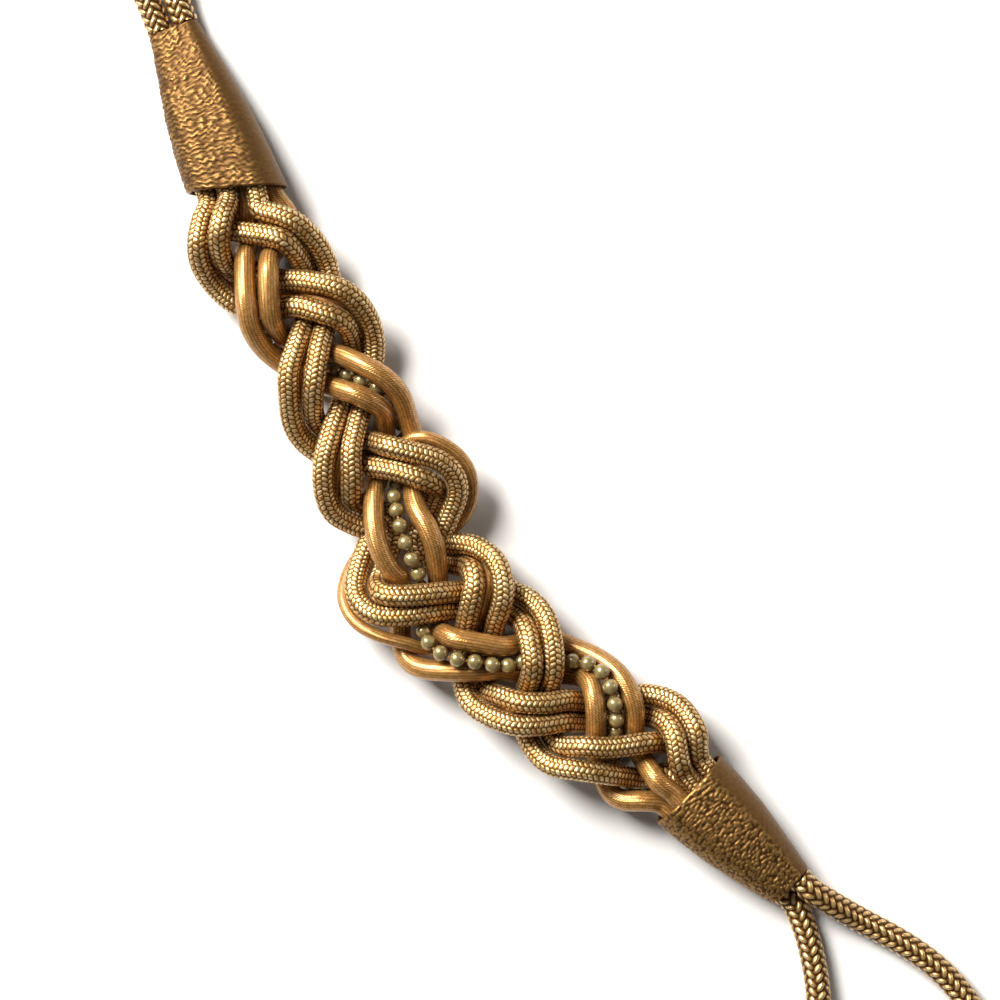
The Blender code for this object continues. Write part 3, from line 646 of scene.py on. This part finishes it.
tie_braid, tree, shader = finish_of("braided tie thread", Metallic=0.7, Coat_Roughness=0.24)
raised = node(tree, "ShaderNodeAttribute", {"attribute_name": "raised"}, output="Fac")
length_along, way_round, _ = parts_of(tree, node(tree, "ShaderNodeUVMap"))
one = way_round * TIE_STRANDS + length_along * (1 / TIE_LAY)
other = way_round * TIE_STRANDS - length_along * (1 / TIE_LAY)
threads = ((one * 2 * math.pi * STRAND_THREADS).sine() + (other * 2 * math.pi * STRAND_THREADS).sine()) * 0.5
drift = blotchy(tree, 4000, 3)
gold = colour_mix(tree, drift.between(0.35, 0.65), (0.60, 0.360, 0.120), (0.80, 0.560, 0.240))
# Painted shade: the low places between the ovals take a dark brown.
gold = colour_mix(tree, raised.between(0.30, 0.85), (0.10, 0.036, 0.004), gold)
plug(tree, gold, shader.inputs["Base Color"])
plug(tree, 0.40 - raised * 0.18 + drift * 0.08, shader.inputs["Roughness"])
plug(tree, raised * raised, shader.inputs["Coat Weight"])
bump = node(tree, "ShaderNodeBump", {}, {"Strength": 0.3, "Distance": 0.05 * MM, "Height": threads})
plug(tree, bump, shader.inputs["Normal"])


# The tassels. Each tie ends in a round head bound with thread and a skirt of loose yarns, which lies on the
# floor, spread and a little flattened.
TASSEL_LENGTH = 36 * MM
TASSEL_HEAD_RADIUS = 4.4 * MM
TASSEL_GAP = 0.3 * MM            # between the tie's end and the head
YARNS = 110
YARN_RADIUS = 0.42 * MM
YARN_POINTS = 10
HEAD_SHARE = 0.24                # the head's share of the tassel's length
HEAD_SIDES = 48
HEAD_CUTS = 36
HEAD_TURN_PITCH = 0.9 * MM       # from one turn of the thread round the head to the next
HEAD_TURN_DEPTH = 0.03           # in radii
# share of its length, multiples of the head's radius in width and in height
TASSEL_SECTIONS = ((0.00, 0.72, 0.72), (0.05, 0.98, 0.98), (0.15, 1.02, 1.02), (0.21, 0.80, 0.80),
                   (0.27, 0.84, 0.82), (0.42, 1.18, 0.92), (0.68, 1.42, 0.92), (1.00, 1.62, 0.84))

tassel_yarn, tree, shader = finish_of("gold tassel yarn", Metallic=0.30, Roughness=0.45)
streak = blotchy(tree, 4000, 2)
plug(tree, colour_mix(tree, streak.between(0.35, 0.65), (0.34, 0.17, 0.045), (0.62, 0.37, 0.13)),
     shader.inputs["Base Color"])


def tassel_pieces(name, end, ahead):
    """A bound head from a primitive, and a skirt of yarns."""
    side = np.array((-ahead[1], ahead[0], 0.0))
    table = np.array(TASSEL_SECTIONS)
    start = end + ahead * TASSEL_GAP

    def form(share):
        half_width = np.interp(share, table[:, 0], table[:, 1]) * TASSEL_HEAD_RADIUS
        half_height = np.interp(share, table[:, 0], table[:, 2]) * TASSEL_HEAD_RADIUS
        return half_width, half_height, max(half_height, end[2] * (1 - 4 * share))

    bpy.ops.mesh.primitive_cylinder_add(vertices=HEAD_SIDES, radius=1, depth=1)
    head = bpy.context.object
    head.name = head.data.name = name + "_head"
    bpy.ops.object.mode_set(mode="EDIT")
    bpy.ops.mesh.select_all(action="DESELECT")
    shaped = bmesh.from_edit_mesh(head.data)
    for edge in shaped.edges:
        edge.select = abs(edge.verts[0].co.z - edge.verts[1].co.z) > 0.5
    bmesh.update_edit_mesh(head.data)
    bpy.ops.mesh.subdivide(number_cuts=HEAD_CUTS)
    bpy.ops.object.mode_set(mode="OBJECT")
    for corner in head.data.vertices:
        share = (corner.co.z + 0.5) * HEAD_SHARE
        half_width, half_height, middle = form(share)
        wound_round = 1 + HEAD_TURN_DEPTH * math.sin(2 * math.pi * share * TASSEL_LENGTH / HEAD_TURN_PITCH)
        cap = 0.25 if abs(corner.co.z) > 0.499 else 1.0
        place = start + ahead * share * TASSEL_LENGTH + side * corner.co.x * half_width * wound_round * cap
        corner.co = (place[0], place[1], max(0.0, middle + corner.co.y * half_height * wound_round * cap))
    bpy.ops.object.mode_set(mode="EDIT")
    bpy.ops.mesh.select_all(action="SELECT")
    bpy.ops.mesh.normals_make_consistent(inside=False)
    bpy.ops.object.mode_set(mode="OBJECT")
    bpy.ops.object.shade_smooth()

    skirt_curve = bpy.data.curves.new(name + "_skirt", "CURVE")
    skirt_curve.dimensions = "3D"
    skirt_curve.bevel_depth = YARN_RADIUS
    skirt_curve.bevel_resolution = 0
    skirt_curve.use_fill_caps = True
    for yarn in range(YARNS):
        spread = math.sqrt((yarn + 0.5) / YARNS)
        angle = yarn * math.pi * (3 - math.sqrt(5))
        reach = 0.94 + 0.06 * math.sin(yarn * 12.9)
        line = skirt_curve.splines.new("POLY")
        line.points.add(YARN_POINTS - 1)
        for number, point in enumerate(line.points):
            share = HEAD_SHARE * 0.9 + (reach - HEAD_SHARE * 0.9) * number / (YARN_POINTS - 1)
            half_width, half_height, middle = form(share)
            sway = 0.10 * math.sin(yarn * 2.4 + number * 0.8) * number / (YARN_POINTS - 1)
            wide = half_width - YARN_RADIUS
            high = half_height - YARN_RADIUS
            place = (start + ahead * share * TASSEL_LENGTH
                     + side * (math.cos(angle) * spread + sway * (1 - spread)) * wide)
            height = middle + (math.sin(angle) * spread + sway * (1 - spread)) * high
            point.co = (place[0], place[1], max(YARN_RADIUS, height), 1)
    skirt = bpy.data.objects.new(name + "_skirt", skirt_curve)
    bpy.context.collection.objects.link(skirt)
    bpy.ops.object.select_all(action="DESELECT")
    skirt.select_set(True)
    bpy.context.view_layer.objects.active = skirt
    bpy.ops.object.convert(target="MESH")
    return head, bpy.context.object


for place_name, outer_end in (("upper_left", 0), ("upper_right", 0), ("lower_left", -1), ("lower_right", -1)):
    route = middle_line(place_name + "_tie")
    if outer_end == 0:
        route = route[::-1]
    tie = cord_piece(place_name + "_tie_braid", route, TIE_RADIUS, TIE_ROW_STEP, TIE_COLUMNS, braided)
    wear(tie, tie_braid, "tie_cord", place_name + "_tie")
    heading = (route[-1] - route[-2]) * (1, 1, 0)
    head, skirt = tassel_pieces(place_name + "_tassel", route[-1], normalised(heading))
    wear(head, wound, "tassel_yarn")
    wear(skirt, tassel_yarn, "tassel_yarn", place_name + "_tassel")
    path, reached = along_curve(route, TIE_PATH_STEP)


# The floor: a plain pale tabletop. Daylight comes from a window at the picture's upper left, with a weaker
# light low on the right.
FLOOR_SIZE = 3.0
bpy.ops.mesh.primitive_plane_add(size=FLOOR_SIZE, location=(0, 0, 0))
floor = bpy.context.object
floor.name = "floor"
floor_finish, tree, shader = finish_of("pale tabletop", Roughness=0.75)
grain = blotchy(tree, 10, 4)
plug(tree, colour_mix(tree, grain.between(0.3, 0.7), (0.80, 0.80, 0.81), (0.84, 0.84, 0.85)),
     shader.inputs["Base Color"])
floor.data.materials.append(floor_finish)


def area_light(name, right, up, high, distance, size, power, colour):
    """A square light that faces the picture's middle, from a way given in the picture's own directions."""
    way = (PICTURE_RIGHT * right + PICTURE_UP * up + Vector((0, 0, high))).normalized()
    light = bpy.data.lights.new(name, "AREA")
    light.shape = "SQUARE"
    light.size = size
    light.energy = power
    light.color = colour
    lamp = bpy.data.objects.new(name, light)
    lamp.location = PICTURE_CENTRE + way * distance
    lamp.rotation_euler = (-way).to_track_quat("-Z", "Y").to_euler()
    bpy.context.collection.objects.link(lamp)


area_light("window", right=-0.54, up=0.54, high=0.64, distance=2.2, size=0.95, power=122,
           colour=(1.0, 0.96, 0.90))
area_light("low_right_light", right=0.90, up=0.29, high=0.36, distance=1.2, size=0.20, power=1.8,
           colour=(1.0, 0.93, 0.84))
world = bpy.data.worlds.new("room")
world.use_nodes = True
world.node_tree.nodes["Background"].inputs["Color"].default_value = (1.0, 0.98, 0.96, 1)
world.node_tree.nodes["Background"].inputs["Strength"].default_value = 0.12
bpy.context.scene.world = world
bpy.context.scene.view_settings.view_transform = "Standard"
